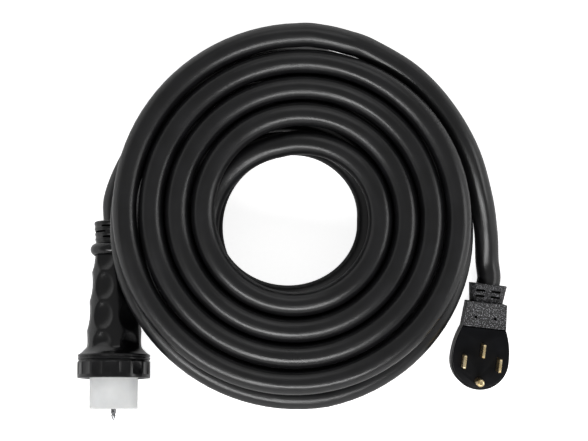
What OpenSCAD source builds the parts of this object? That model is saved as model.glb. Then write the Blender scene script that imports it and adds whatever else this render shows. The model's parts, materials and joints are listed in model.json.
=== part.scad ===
// Shore power cord for a recreational vehicle: 50 A, 125/250 V, 11 m of four-core cord.
// The cord lies in a round coil of four layers. A locking connector lies on its left and a
// right-angle plug, blades up, on its right. Millimetres, Z up, the floor is z = 0, and the
// origin is on the floor, midway between the connector and the plug.

/* [Cord] */
// Outside diameter of the cord's jacket
cord_d = 23; // [21:0.5:24]
// Diameter of an insulated power conductor
power_wire_d = 6.6; // [5.6:0.1:7]
// Diameter of the insulated ground conductor
ground_wire_d = 5.4; // [4.4:0.1:6]
// Length of conductor left inside the end of the cut jacket
wire_root = 8; // [5:0.5:12]

/* [Coil] */
// Radius of the innermost turn's centreline
coil_inner_r = 71.1; // [66:0.1:80]
// Gap between neighbouring turns in the first layer, on the floor
gap_1 = 3.4; // [3.2:0.1:3.7]
// Gap between neighbouring turns in the second layer
gap_2 = 6.9; // [6.6:0.1:7.2]
// Gap between neighbouring turns in the third layer
gap_3 = 4.6; // [4.4:0.1:4.8]
// Gap between neighbouring turns in the top layer
gap_4 = 1.8; // [1.6:0.1:2.2]
// Gap between one layer and the next
layer_gap = 0.5; // [0.5:0.1:2]
// Room at each side of the coil's widest turn for the connector and the plug
side_room = 42; // [41.6:0.1:48]

/* [Connector shell] */
// Length of the slotted strain relief
relief_len = 21.2; // [18:0.2:28]
// How far the strain relief stands out from the cord where it enters
relief_wall = 8.9; // [7:0.1:9.5]
// How far the strain relief stands out from the cord at the collar
relief_neck_wall = 7.5; // [6:0.1:8]
// Length of the rounded collar
collar_len = 12; // [10:0.5:14]
// How far the collar stands out from the cord
collar_wall = 12.3; // [11:0.1:13]
// Length of the grip up to its flare
grip_len = 86; // [82:1:100]
// How far the grip's crests stand out from the cord at the collar
grip_back_wall = 9.5; // [8:0.1:10]
// Radius of the grip's crests at the flare
grip_front_r = 27.5; // [26.5:0.1:29]
// Wall of the grip under its scoops
grip_wall = 1.8; // [1.4:0.1:2.4]
// Depth of a finger scoop in the grip
scoop_depth = 2.6; // [1.5:0.1:3]
// Radius of the ball that shapes a finger scoop
scoop_ball_r = 38; // [30:1:50]
// Distance between two rows of finger scoops
scoop_pitch = 28.6; // [26:0.2:32]
// Number of finger scoops around the grip
scoop_count = 6; // [4:1:8]
// Length of the flare in front of the grip
flare_len = 10; // [8:0.5:14]
// Length of the rim in front of the flare
rim_len = 5; // [4:0.5:8]
// Radius of the rim
rim_r = 35.2; // [34:0.1:37]

// How far the cord's jacket reaches past the collar into the grip
jacket_past_collar = 18; // [16:0.5:24]
// Distance from the flare back to the terminal block
block_setback = 16; // [14:0.5:20]

/* [Locking ring] */
// Outside radius of the locking ring
ring_r = 35.4; // [34.5:0.1:38]
// Length of the locking ring
ring_len = 17.5; // [15:0.5:20]
// Radius of the ring's threaded bore
ring_bore_r = 31; // [30:0.1:32]
// Thickness of the lip that holds the ring on the nose
ring_lip = 3; // [2:0.5:4]
// Depth of the finger recesses around the ring
recess_depth = 0.9; // [0.5:0.1:1.5]
// Number of finger recesses around the ring
recess_count = 16; // [12:1:20]
// Width of the rib left between two recesses
rib_w = 2.6; // [2:0.1:4]
// Clearance between the ring and what it turns on
turn_gap = 0.4; // [0.3:0.05:0.6]

/* [Nose and contacts] */
// Radius of the nose
nose_r = 23.4; // [22.5:0.1:24.5]
// Radius of the nose's hub, which the ring turns on
hub_r = 24.2; // [23.8:0.1:26]
// Length of the nose in front of the ring
nose_out = 29.5; // [26:0.5:36]
// Radius of the middle of the curved contact slots
slot_r = 16.6; // [15.5:0.1:17.5]
// Width of a curved contact slot
slot_w = 3.4; // [2.8:0.1:3.8]
// Angle that a curved contact slot spans
slot_angle = 62; // [50:1:75]
// Thickness of a curved contact
contact_t = 1.3; // [1:0.1:1.6]
// Diameter of the centre pin
pin_d = 5.2; // [4.6:0.1:6]
// Length of the centre pin in front of the nose
pin_out = 12.3; // [10:0.1:16]

/* [Plug body] */
// Radius of the round end of the plug's face
face_r = 27.4; // [27:0.1:30]
// Height of the plug, from its back to its face
plug_h = 34; // [32:0.5:38]
// Thickness of the face plate
face_t = 5; // [4:0.5:7]
// Distance from the middle of the round end to the seam
seam_y = 29.5; // [28:0.5:32]
// Length of the textured shoulder
shoulder_len = 25; // [22:0.5:32]
// Width of the shoulder where the strain relief starts
shoulder_end_w = 38.8; // [37:0.2:42]
// Wall of the plug's cover
plug_wall = 3.2; // [2.6:0.1:3.6]
// Length of the plug's strain relief
plug_relief_len = 18; // [15:0.5:24]
// Width of the plug's strain relief where the cord enters
plug_relief_w = 36.3; // [34:0.1:38]
// Width of the plug's strain relief at the shoulder
plug_relief_neck_w = 31.7; // [30:0.1:34]
// Thickness of the plug's strain relief
plug_relief_h = 28; // [27.5:0.5:30]

/* [Blades] */
// Length of a blade in front of the face
blade_len = 25.4; // [22:0.2:28]
// Width of a blade
blade_w = 12.5; // [11:0.1:13.5]
// Thickness of a blade
blade_t = 2.4; // [2:0.1:3]
// Distance between the two hot blades
hot_spacing = 33.9; // [31:0.1:36]
// Distance from the line of the hot blades to the neutral blade
neutral_step = 12.2; // [11:0.1:14]
// Distance from the line of the hot blades to the ground pin
ground_step = 18.3; // [17:0.1:20]
// Distance from the middle of the round end to the line of the hot blades
hot_offset = 3.3; // [2:0.1:4]
// Radius of the ground pin
ground_pin_r = 3.6; // [3.2:0.1:4]
// Depth of the neck by which the moulding holds the ground pin
ground_pin_neck = 0.6; // [0.4:0.1:1]
// Length of the ground pin in front of the face
ground_pin_len = 28; // [25:0.5:31]

/* [Hidden] */
$fn = 64;

cord_r = cord_d / 2;
relief_r = cord_r + relief_wall;
relief_neck_r = cord_r + relief_neck_wall;
collar_r = cord_r + collar_wall;
grip_back_r = cord_r + grip_back_wall;
snug = 0.1;                 // radial clearance of a moulded or clamped fit
cut = 1;                    // how far a cutting body runs past a face

// ---- The coil: four layers that spiral in, out, in and out, clockwise from above
layer_turns = [3.25, 3.22, 3.5, 4.03];
turn_a = layer_turns[0];
layer_centres = [[3.5, 94.3], [1.8, 89.6], [-4.8, 95.6], [4.5, 101.5]];
layer_h = cord_d + layer_gap;
rings_per_turn = 24;
coil_sides = 6;
turn_b = turn_a + layer_turns[1];
turn_c = turn_b + layer_turns[2];
turn_end = turn_c + layer_turns[3];
coil_outer_r = coil_inner_r + (cord_d + gap_2) * layer_turns[1];
coil_neck_r = coil_outer_r - (cord_d + gap_3) * layer_turns[2];
// Places where a hand-laid turn lies off centre: after which turn, how many turns it takes to
// come back, and how far it is off
stray_turns = [
    [turn_a + 0.25, 0.43, [-1.8, 11.6]],
    [turn_b + 0.56, 0.38, [2.5, 5]],
    [turn_c - 0.3, 0.3, [-1.3, -0.7]]
];

// Radius of the centreline after u turns: each layer winds at its own steady rate
function coil_radius(u) =
    u < turn_a ? coil_inner_r + (cord_d + gap_1) * (turn_a - u) :
    u < turn_b ? coil_inner_r + (cord_d + gap_2) * (u - turn_a) :
    u < turn_c ? coil_outer_r - (cord_d + gap_3) * (u - turn_b) :
    coil_neck_r + (cord_d + gap_4) * (u - turn_c);
// From 0 to 1 over the half turn round a reversal
function eased(x) = let (t = min(1, max(0, 2 * x + 0.5))) t * t * (3 - 2 * t);
// From 0 to 1 and back, between -1 and 1
function swell(x) = abs(x) < 1 ? (1 + cos(180 * x)) / 2 : 0;
function strayed(u, i) = swell((u - stray_turns[i][0]) / stray_turns[i][1]) * stray_turns[i][2];
function layers_climbed(u) = eased(u - turn_a) + eased(u - turn_b) + eased(u - turn_c);
function coil_centre(u) = layer_centres[0]
    + eased(u - turn_a) * (layer_centres[1] - layer_centres[0])
    + eased(u - turn_b) * (layer_centres[2] - layer_centres[1])
    + eased(u - turn_c) * (layer_centres[3] - layer_centres[2])
    + strayed(u, 0) + strayed(u, 1) + strayed(u, 2);
function coil_point(u) =
    let (c = coil_centre(u), r = coil_radius(u), a = 90 - 360 * u)
    [c.x + r * cos(a), c.y + r * sin(a), cord_r + layer_h * layers_climbed(u)];

function unit(v) = v / norm(v);
coil_turns = [for (i = [0:floor(turn_end * rings_per_turn - 0.5)]) coil_point(i / rings_per_turn)];
coil_last = coil_point(turn_end);
// The ends run straight for one diameter, as chords of the spiral
function turns_per_diameter(u) = cord_d / (2 * PI * coil_radius(u));
start_way = unit(coil_point(-turns_per_diameter(0)) - coil_turns[0]);
finish_way = unit(coil_point(turn_end + turns_per_diameter(turn_end)) - coil_last);
coil_start = coil_turns[0] + cord_d * start_way;
coil_finish = coil_last + cord_d * finish_way;
coil_path = concat([coil_start], coil_turns, [coil_last, coil_finish]);

// ---- Where the connector lies: on its rim, and on its collar or the end of its strain relief
collar_s = relief_len;
grip_s = collar_s + collar_len;
flare_s = grip_s + grip_len;
rim_s = flare_s + flare_len;
face_s = rim_s + rim_len;
ring_s = face_s + turn_gap;
ring_end_s = ring_s + ring_len;
nose_end_s = ring_end_s + nose_out;
connector_len = nose_end_s + pin_out;
collar_bead_r = collar_len / 2;
bead_to_rim = [rim_s - collar_s - collar_bead_r, rim_r - collar_r + collar_bead_r];
connector_tilt = min(
    atan((rim_r - relief_r) / rim_s),
    atan(bead_to_rim.y / bead_to_rim.x) - asin(collar_bead_r / norm(bead_to_rim))
);
half_span = coil_outer_r + side_room;
connector_end = [
    ring_r - half_span,
    (connector_len * cos(connector_tilt) - relief_r * sin(connector_tilt)) / 2,
    rim_r * cos(connector_tilt) - rim_s * sin(connector_tilt)
];
connector_exit = [0, cos(connector_tilt), -sin(connector_tilt)];
module on_connector(s = 0)
    translate(connector_end) rotate([90 - connector_tilt, 0, 0]) translate([0, 0, s]) children();

// ---- Where the plug lies: on its back, turned a little about Z
plug_turn = -6.7;
shell_r = face_r + 0.5;
shell_drop = 2.5;           // how far the back shell's round end lies past the face's
plug_place = [half_span - shell_r, -37.5, 0];
plug_cord_z = plug_h / 2;
shoulder_end_y = seam_y + shoulder_len;
plug_end_y = shoulder_end_y + plug_relief_len;
plug_out = [-sin(plug_turn), cos(plug_turn), 0];
plug_exit = plug_place + plug_end_y * plug_out + [0, 0, plug_cord_z];
module on_plug() translate(plug_place) rotate([0, 0, plug_turn]) children();

// ---- The two free stretches, by points chosen by hand
plug_lead = 8;              // how far the cord leaves the plug straight
finish_lead = 4;            // and how far it runs straight on from the coil
connector_tail = [
    connector_end, connector_end + cord_d * connector_exit,
    [-163.5, 147, 14], [-147, 174, 11.5], [-122, 202, 11.5], [-93, 227, 11.5], [-62, 243, 11.5],
    coil_start + cord_r * start_way, coil_start
];
plug_tail = [
    coil_finish, coil_finish + finish_lead * finish_way, [50, 266.6, 80.5],
    [72.5, 259.3, 75], [111.5, 235.5, 69], [142.5, 203, 63.5], [166.5, 163, 57], [180.5, 120, 43.5],
    [187, 85, 28], [189, 58, 18.5], plug_exit + plug_lead * plug_out, plug_exit
];
tail_sides = 10;

// ---- Tubes swept along a path of points
function heading(path, i) = unit(path[min(i + 1, len(path) - 1)] - path[max(i - 1, 0)]);
function ring_points(path, i, r, sides, upright) =
    let (ahead = heading(path, i), across = unit(cross(ahead, upright)), up = cross(across, ahead))
    [for (k = [0:sides - 1]) let (a = 90 + 360 * k / sides) path[i] + r * (cos(a) * across + sin(a) * up)];
module swept_tube(path, r, sides, upright = [0, 0, 1]) {
    last = (len(path) - 1) * sides;
    walls = [
        for (i = [0:len(path) - 2], k = [0:sides - 1])
            let (a = i * sides + k, b = i * sides + (k + 1) % sides)
            each [[a, b, a + sides], [b, b + sides, a + sides]]
    ];
    near_cap = [for (k = [1:sides - 2]) [0, k + 1, k]];
    far_cap = [for (k = [1:sides - 2]) [last, last + k, last + k + 1]];
    polyhedron(
        [for (i = [0:len(path) - 1]) each ring_points(path, i, r, sides, upright)],
        concat(walls, near_cap, far_cap), convexity = 12
    );
}
function path_length(path) = len(path) < 2 ? 0 :
    [for (i = 0, sum = 0; i < len(path); i = i + 1, sum = sum + (i < len(path) ? norm(path[i] - path[i - 1]) : 0)) sum]
    [len(path) - 1];
// Least distance between turns: points at least half a turn apart along the coil
function least_gap(path, apart) = min([
    for (i = [0:len(path) - 1 - apart]) min([for (j = [i + apart:len(path) - 1]) norm(path[i] - path[j])])
]) - cord_d;
echo(least_gap_in_coil = least_gap(coil_turns, rings_per_turn / 2));
echo(cord_length = path_length(concat(connector_tail, coil_turns, plug_tail)));

module cord_coil() color("#1c1c1e") swept_tube(coil_path, cord_r, coil_sides);
module cord_to_connector() color("#1c1c1e") swept_tube(connector_tail, cord_r, tail_sides);
module cord_to_plug() color("#1c1c1e") swept_tube(plug_tail, cord_r, tail_sides);

// ---- Small shapes used more than once
module tube(r_out, r_in, h) difference() {
    cylinder(h = h, r = r_out);
    translate([0, 0, -cut]) cylinder(h = h + 2 * cut, r = r_in);
}
module around(count, first = 0) for (k = [0:count - 1]) rotate([0, 0, first + 360 * k / count]) children();
// A flat piece of a ring, centred on +X
module arc_sector(r_in, r_out, angle, h) {
    reach = 2 * r_out;
    linear_extrude(h) intersection() {
        difference() { circle(r_out); circle(r_in); }
        polygon([[0, 0], reach * [cos(angle / 2), -sin(angle / 2)], [reach, 0],
                 reach * [cos(angle / 2), sin(angle / 2)]]);
    }
}
wire_sides = 12;
module screw(head_d, head_h, shank_d, shank_len) {
    difference() {
        cylinder(h = head_h, d = head_d, $fn = 32);
        translate([-head_d, -0.5, head_h - 0.8]) cube([2 * head_d, 1, 0.8 + cut]);
    }
    translate([0, 0, -shank_len]) cylinder(h = shank_len, d = shank_d, $fn = 32);
}

// ---- Connector, along its own axis: s = 0 where the cord enters, the nose ahead
jacket_in = relief_len + collar_len + jacket_past_collar;
core_step = (power_wire_d + ground_wire_d) / 2 + 0.3;   // from the cord's axis to a power conductor
block_s = flare_s - block_setback;
block_end_s = rim_s - 2;
terminal_r = 13;
spigot_end = grip_s + 2;
cavity_back_r = grip_back_r - scoop_depth - grip_wall;
cavity_front_r = grip_front_r - scoop_depth - grip_wall - 1;
function crest_r(t) = grip_back_r + (grip_front_r - grip_back_r) * t / grip_len;
function cavity_r(s) = cavity_back_r + (cavity_front_r - cavity_back_r) * (s - grip_s) / grip_len;
block_r = cavity_r(block_s) - 0.3;
wire_hole_len = 12;                             // depth of the holes that take the conductors
contact_foot_s = block_s + wire_hole_len;
terminal_screw_s = block_s + wire_hole_len / 2;
screw_head_h = 1.8;
terminal_seat_r = block_r - screw_head_h - 0.6;
block_screw_r = block_r - 4;
block_screw_d = 2.8;
block_screw_grip = 8;                           // how far the block's screws reach into the nose
slot_floor_s = ring_s + 4;
retainer_t = 1.6;
gasket_t = 1.6;
retainer_s = ring_s + ring_lip + turn_gap;
hub_end_s = retainer_s + retainer_t + snug + gasket_t;
nose_bore_r = pin_d / 2 + snug;
wire_angles = [90, 210, 330];

module connector_strain_relief() color("#1f1f21") on_connector() difference() {
    union() {
        cylinder(h = relief_len, r1 = relief_r, r2 = relief_neck_r);
        translate([0, 0, relief_len - cut]) cylinder(h = spigot_end - relief_len + cut, r = cavity_back_r - snug);
    }
    translate([0, 0, -cut]) cylinder(h = spigot_end + 2 * cut, r = cord_r + snug);
    for (row = [0:2]) translate([0, 0, relief_len * (0.2 + 0.25 * row)])
        around(4, 45 * row) translate([-7, relief_neck_r - 3, 0]) cube([14, 8, 1.8]);
}
module connector_collar() color("#1d1d1f") on_connector(collar_s) rotate_extrude() difference() {
    union() {
        translate([collar_r - collar_bead_r, collar_bead_r]) circle(collar_bead_r);
        translate([cavity_back_r, 0]) square([collar_r - collar_bead_r - cavity_back_r, collar_len]);
    }
    translate([0, -cut]) square([cavity_back_r, collar_len + 2 * cut]);
}
module connector_grip() color("#1b1b1d") on_connector(grip_s) difference() {
    rotate_extrude() polygon([
        [cavity_back_r, 0], [grip_back_r, 0], [crest_r(grip_len - 5), grip_len - 5], [grip_front_r, grip_len],
        [grip_front_r + 0.6, grip_len + 0.4 * flare_len], [grip_front_r + 3.2, grip_len + 0.75 * flare_len],
        [rim_r - 0.7, grip_len + flare_len], [cavity_front_r + 3, grip_len + flare_len],
        [cavity_front_r + 3, grip_len + 0.6 * flare_len], [cavity_front_r, grip_len]
    ]);
    for (row = [0:3], k = [0:scoop_count - 1]) rotate([0, 0, 50 + 360 * k / scoop_count])
        translate([crest_r(row * scoop_pitch) + scoop_ball_r - scoop_depth, 0, row * scoop_pitch])
        sphere(scoop_ball_r);
}
module grip_rim() color("#161618") on_connector(rim_s) rotate_extrude() difference() {
    translate([hub_r + snug, 0]) square([rim_r - hub_r - snug, rim_len]);
    translate([rim_r - 0.8, 0.5 * rim_len - 0.4]) square([0.8 + cut, 0.8]);
}
module locking_ring() color("#121214") on_connector(ring_s) difference() {
    rotate_extrude() polygon([
        [hub_r + turn_gap, 0], [ring_r, 0], [ring_r, ring_len], [ring_bore_r, ring_len],
        for (k = [2:-1:0]) let (z = ring_lip + 4.5 + 2.4 * k)
            each [[ring_bore_r, z + 1.2], [ring_bore_r + 0.5, z + 0.6], [ring_bore_r, z]],
        [ring_bore_r, ring_lip], [hub_r + turn_gap, ring_lip]
    ]);
    recess_w = 2 * PI * ring_r / recess_count - rib_w;
    around(recess_count, 90) translate([ring_r - recess_depth, -recess_w / 2, 2])
        cube([3, recess_w, ring_len - 5.5]);
}
module ring_retainer() color("#b9bcc0") on_connector(retainer_s)
    tube(hub_r + 4, hub_r + snug, retainer_t);
module ring_gasket() color("#3a3a3c") on_connector(retainer_s + retainer_t + snug)
    tube(ring_bore_r - 1.2, hub_r + snug, gasket_t);
module contact_slots(r_in, r_out, angle, h) around(3, 90) arc_sector(r_in, r_out, angle, h);
module nose() color("#e4e6e6") difference() {
    union() {
        on_connector(block_end_s) cylinder(h = hub_end_s - block_end_s, r = hub_r);
        on_connector(hub_end_s - cut) cylinder(h = nose_end_s - hub_end_s + cut, r = nose_r);
    }
    on_connector(slot_floor_s)
        contact_slots(slot_r - slot_w / 2, slot_r + slot_w / 2, slot_angle, nose_end_s - slot_floor_s + cut);
    on_connector(block_end_s - cut)
        contact_slots(slot_r + slot_w / 2 - contact_t - snug, slot_r + slot_w / 2, slot_angle / 3 + 2,
                      slot_floor_s - block_end_s + 2 * cut);
    on_connector(block_end_s - cut) cylinder(h = nose_end_s - block_end_s + 2 * cut, r = nose_bore_r);
    on_connector(block_end_s - cut) around(2) translate([block_screw_r, 0, 0])
        cylinder(h = block_screw_grip + cut + snug, d = block_screw_d + 2 * snug, $fn = 32);
    on_connector(nose_end_s - 0.9) around(3, 30) translate([nose_r - 5, -7, 0]) cube([8, 14, 2]);
}
// A curved contact: the blade in its slot, and the tail that reaches its terminal
module curved_contact(angle) color("#c9a24a") {
    r_out = slot_r + slot_w / 2 - snug / 2;
    on_connector(slot_floor_s) rotate([0, 0, angle])
        arc_sector(r_out - contact_t, r_out, slot_angle - 6, nose_end_s - slot_floor_s - 4);
    on_connector(contact_foot_s + snug) rotate([0, 0, angle])
        arc_sector(r_out - contact_t, r_out, slot_angle / 3, slot_floor_s - contact_foot_s - snug + cut);
}
module contact_hot_x() curved_contact(wire_angles[0]);
module contact_hot_y() curved_contact(wire_angles[1]);
module contact_neutral() curved_contact(wire_angles[2]);
module centre_pin() color("#c4c6c8") on_connector(block_s + 4) {
    shaft = connector_len - block_s - 4;
    rotate_extrude() polygon([
        [0, 0], [pin_d / 2, 0], [pin_d / 2, shaft - pin_out + 3.5], [0.32 * pin_d, shaft - pin_out + 5],
        [0.32 * pin_d, shaft - 7.5], [0.44 * pin_d, shaft - 6], [0.05, shaft], [0, shaft]
    ]);
}
module terminal_block() color("#8d8f92") difference() {
    on_connector(block_s) cylinder(h = block_end_s - block_s, r = block_r);
    on_connector(block_s) for (a = wire_angles) rotate([0, 0, a]) translate([terminal_r, 0, -cut])
        cylinder(h = wire_hole_len + cut, d = power_wire_d + 2 * snug);
    on_connector(contact_foot_s) contact_slots(slot_r + slot_w / 2 - contact_t - snug, slot_r + slot_w / 2,
        slot_angle / 3 + 2, block_end_s - block_s);
    on_connector(block_s - cut) cylinder(h = block_end_s - block_s + 2 * cut, r = nose_bore_r);
    on_connector(block_s - cut) cylinder(h = 4 + cut, d = ground_wire_d + 2 * snug);
    on_connector(terminal_screw_s) for (a = wire_angles) rotate([0, 0, a]) rotate([0, 90, 0]) {
        translate([0, 0, terminal_seat_r]) cylinder(h = 4, d = 6);
        translate([0, 0, terminal_r]) cylinder(h = block_r - terminal_r, d = 3 + 2 * snug, $fn = 32);
    }
    on_connector(block_s - cut) around(2) translate([block_screw_r, 0, 0]) {
        cylinder(h = block_end_s - block_s + 2 * cut, d = block_screw_d + 2 * snug, $fn = 32);
        cylinder(h = cut + screw_head_h + 0.5, d = 2 * block_screw_d + 2 * snug, $fn = 32);
    }
}
module terminal_screws() color("#aeb0b3") on_connector(terminal_screw_s)
    for (a = wire_angles) rotate([0, 0, a]) rotate([0, 90, 0]) translate([0, 0, terminal_seat_r])
        screw(5.6, screw_head_h, 3, terminal_seat_r - terminal_r - power_wire_d / 2 - snug);
module block_screws() color("#aeb0b3") on_connector(block_s + screw_head_h + 0.5) around(2)
    translate([block_screw_r, 0, 0]) mirror([0, 0, 1])
    screw(2 * block_screw_d, screw_head_h, block_screw_d,
          block_end_s + block_screw_grip - block_s - screw_head_h - 0.5);
module inner_sleeve() color("#6f7174") {
    start = jacket_in + wire_root;
    wall = 1.6;
    back_r = cavity_r(start) - 0.3;
    front_r = cavity_r(block_s) - 0.3;
    on_connector(start) rotate_extrude() polygon([
        [back_r - wall, 0], [back_r, 0], [front_r, block_s - start], [front_r - wall, block_s - start]
    ]);
}
clamp_s = spigot_end + 0.5;
clamp_len = 11;
clamp_out_r = cavity_r(clamp_s) - 1.2;
module clamp_half(first) on_connector(clamp_s) rotate([0, 0, first]) intersection() {
    tube(clamp_out_r, cord_r + snug, clamp_len);
    translate([0.3, -2 * clamp_out_r, -cut]) cube([2 * clamp_out_r, 4 * clamp_out_r, clamp_len + 2 * cut]);
}
module clamp_half_upper() color("#55575a") clamp_half(90);
module clamp_half_lower() color("#55575a") clamp_half(-90);
module clamp_band() color("#b9bcc0") on_connector(clamp_s + 2) tube(clamp_out_r + 0.9, clamp_out_r, clamp_len - 4);
module jacket_end(length) difference() {
    cylinder(h = length, r = cord_r);
    translate([0, 0, length - wire_root]) {
        cylinder(h = wire_root + cut, d = ground_wire_d + 0.1);
        for (a = wire_angles) rotate([0, 0, a]) translate([core_step, 0, 0])
            cylinder(h = wire_root + cut, d = power_wire_d + 0.1);
    }
}
module connector_jacket_end() color("#1c1c1e") on_connector() jacket_end(jacket_in);
module connector_power_wire(angle) on_connector() rotate([0, 0, angle]) swept_tube([
    [core_step, 0, jacket_in - wire_root], [core_step, 0, jacket_in + power_wire_d],
    [terminal_r, 0, block_s - power_wire_d], [terminal_r, 0, block_s + wire_hole_len - 1]
], power_wire_d / 2, wire_sides, [0, 1, 0]);
module connector_wire_black() color("#151515") connector_power_wire(wire_angles[0]);
module connector_wire_red() color("#b3241c") connector_power_wire(wire_angles[1]);
module connector_wire_white() color("#e8e8e4") connector_power_wire(wire_angles[2]);
module connector_wire_green() color("#1f7a3a") on_connector(jacket_in - wire_root)
    cylinder(h = block_s + 4 - jacket_in + wire_root, d = ground_wire_d);

// ---- Plug, in its own frame: the round end's middle at the origin, the cord along +Y
seam_half_w = 0.78 * face_r;
seam_step = 0.15;           // how much narrower the shoulder is at the seam
// A round end and two side arcs that leave it square and pass through the ends of the seam
module plug_outline(round_r, drop, inset = 0, reach = 0) {
    narrowing = round_r - seam_half_w;
    side_r = (pow(seam_y + drop, 2) + narrowing * narrowing) / (2 * narrowing);
    translate([0, -drop]) {
        circle(round_r - inset);
        intersection() {
            translate([round_r - side_r, 0]) circle(side_r - inset);
            translate([side_r - round_r, 0]) circle(side_r - inset);
            translate([-2 * face_r, 0]) square([4 * face_r, seam_y + drop + reach]);
        }
    }
}
cavity_inset = plug_wall + 0.8;     // leaves the face plate a ledge to sit on
face_z = plug_h - face_t;
core_t = 8;
hot_y = -hot_offset;
neutral_y = hot_y + neutral_step;
ground_y = hot_y - ground_step;
core_end_y = neutral_y + blade_w / 2 + 2;
barrel_wall = 0.8;
barrel_len = 8;
hot_wire_z = 13;
neutral_wire_z = 15;
ground_wire_z = plug_wall + ground_wire_d / 2 + 2;
shoulder_bore_r = cord_r + 2.1;
ground_neck_r = ground_pin_r - ground_pin_neck;
module blade_hole(x, y)
    translate([x - blade_t / 2 - snug, y - blade_w / 2 - snug, 0]) cube([blade_t + 2 * snug, blade_w + 2 * snug, plug_h]);
module blade_holes() {
    for (side = [-1, 1]) blade_hole(side * hot_spacing / 2, hot_y);
    blade_hole(0, neutral_y);
    translate([0, ground_y, 0]) cylinder(h = plug_h + cut, r = ground_neck_r + snug);
}
module plug_cover() color("#242426") on_plug() difference() {
    union() {
        linear_extrude(face_z) plug_outline(shell_r, shell_drop, reach = cut);
        linear_extrude(plug_h) polygon([
            [seam_step - seam_half_w, seam_y], [seam_half_w - seam_step, seam_y],
            [shoulder_end_w / 2, shoulder_end_y], [-shoulder_end_w / 2, shoulder_end_y]
        ]);
    }
    translate([0, 0, plug_wall]) linear_extrude(plug_h) plug_outline(shell_r, shell_drop, cavity_inset);
    translate([0, seam_y - 2 * cut, plug_cord_z]) rotate([-90, 0, 0])
        cylinder(h = shoulder_len - plug_wall + 2 * cut, r = shoulder_bore_r);
    translate([0, seam_y, plug_cord_z]) rotate([-90, 0, 0])
        cylinder(h = shoulder_len + cut, r = cord_r + snug);
    for (side = [-1, 1]) translate([side * 9.5, seam_y + 0.42 * shoulder_len, plug_h - 2])
        cylinder(h = 2 + cut, d = 1.9, $fn = 24);
}
module plug_face() color("#17181b") on_plug() difference() {
    translate([0, 0, face_z]) linear_extrude(face_t) plug_outline(face_r, 0);
    translate([0, 0, face_z - cut]) blade_holes();
}
module plug_core() color("#8d8f92") on_plug() difference() {
    translate([0, 0, face_z - core_t]) linear_extrude(core_t) intersection() {
        plug_outline(shell_r, shell_drop, cavity_inset + 0.3);
        translate([-2 * face_r, -2 * face_r]) square([4 * face_r, 2 * face_r + core_end_y]);
    }
    translate([0, 0, face_z - core_t - cut]) blade_holes();
    for (side = [-1, 1]) translate([side * 14, hot_y - 12, face_z - core_t - cut])
        cylinder(h = 6 + cut, d = 3, $fn = 32);
}
module core_screws() color("#aeb0b3") on_plug() for (side = [-1, 1])
    translate([side * 14, hot_y - 12, face_z - core_t]) mirror([0, 0, 1]) screw(5.6, 1.8, 2.8, 5.5);
module rounded_plate(w, h, t, r) linear_extrude(t) {
    square([w - 2 * r, h], center = true);
    square([w, h - 2 * r], center = true);
    for (x = [-1, 1], y = [-1, 1]) translate([x * (w / 2 - r), y * (h / 2 - r)]) circle(r, $fn = 32);
}
module plug_strain_relief() color("#1f1f21") on_plug()
    translate([0, shoulder_end_y, plug_cord_z]) rotate([-90, 0, 0]) difference() {
        hull() {
            rounded_plate(plug_relief_neck_w, plug_relief_h - 1.5, 0.2, 8);
            translate([0, 0, plug_relief_len - 0.2]) rounded_plate(plug_relief_w, plug_relief_h, 0.2, 8);
        }
        translate([0, 0, -cut]) cylinder(h = plug_relief_len + 2 * cut, r = cord_r + snug);
        for (row = [0:1], side = [-1, 1], face = [-1, 1])
            translate([side * 7.5 - 4.5, face * plug_relief_h / 2 - 1.4, plug_relief_len * (0.28 + 0.3 * row)])
            cube([9, 2.8, 2.2]);
        for (row = [0:1], side = [-1, 1])
            translate([side * plug_relief_neck_w / 2 - 2.2, -4, plug_relief_len * (0.28 + 0.3 * row)])
            cube([4.4 + 4, 8, 2.2]);
    }
module plug_crimp_ring() color("#b9bcc0") on_plug()
    translate([0, seam_y + 12, plug_cord_z]) rotate([-90, 0, 0]) tube(cord_r + 1.7, cord_r + snug / 2, 8);
// A blade with the barrel that its conductor is crimped in
module blade(x, y, wire_z, wire_d) color("#cda64c") on_plug() translate([x, y, 0]) {
    difference() {
        translate([-blade_t / 2, -blade_w / 2, wire_z - 4]) cube([blade_t, blade_w, plug_h + blade_len - wire_z + 4]);
        for (side = [-1, 1]) translate([0, side * blade_w / 2, plug_h + blade_len]) rotate([side * 45, 0, 0])
            cube([2 * blade_t, 1.6, 1.6], center = true);
    }
    translate([0, blade_w / 2 - 0.5, wire_z]) rotate([-90, 0, 0]) difference() {
        cylinder(h = barrel_len, d = wire_d + 2 * barrel_wall + 2 * snug);
        translate([0, 0, 1.5]) cylinder(h = barrel_len, d = wire_d + 2 * snug);
    }
}
module blade_hot_x() blade(-hot_spacing / 2, hot_y, hot_wire_z, power_wire_d);
module blade_hot_y() blade(hot_spacing / 2, hot_y, hot_wire_z, power_wire_d);
module blade_neutral() blade(0, neutral_y, neutral_wire_z, power_wire_d);
module ground_pin() color("#cda64c") on_plug() translate([0, ground_y, 0]) {
    top = plug_h + ground_pin_len;
    rotate_extrude() polygon([
        [0, ground_wire_z - 3], [ground_neck_r, ground_wire_z - 3], [ground_neck_r, plug_h], [ground_pin_r, plug_h],
        [ground_pin_r, top - 2], [ground_pin_r - 0.6, top - 0.7], [ground_pin_r - 1.6, top], [0, top]
    ]);
    translate([0, ground_neck_r - 0.5, ground_wire_z]) rotate([-90, 0, 0]) difference() {
        cylinder(h = barrel_len, d = ground_wire_d + 2 * barrel_wall + 2 * snug);
        translate([0, 0, 1.5]) cylinder(h = barrel_len, d = ground_wire_d + 2 * snug);
    }
}
plug_jacket_len = plug_end_y - seam_y - 10;
jacket_tip_y = plug_end_y - plug_jacket_len;
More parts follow.
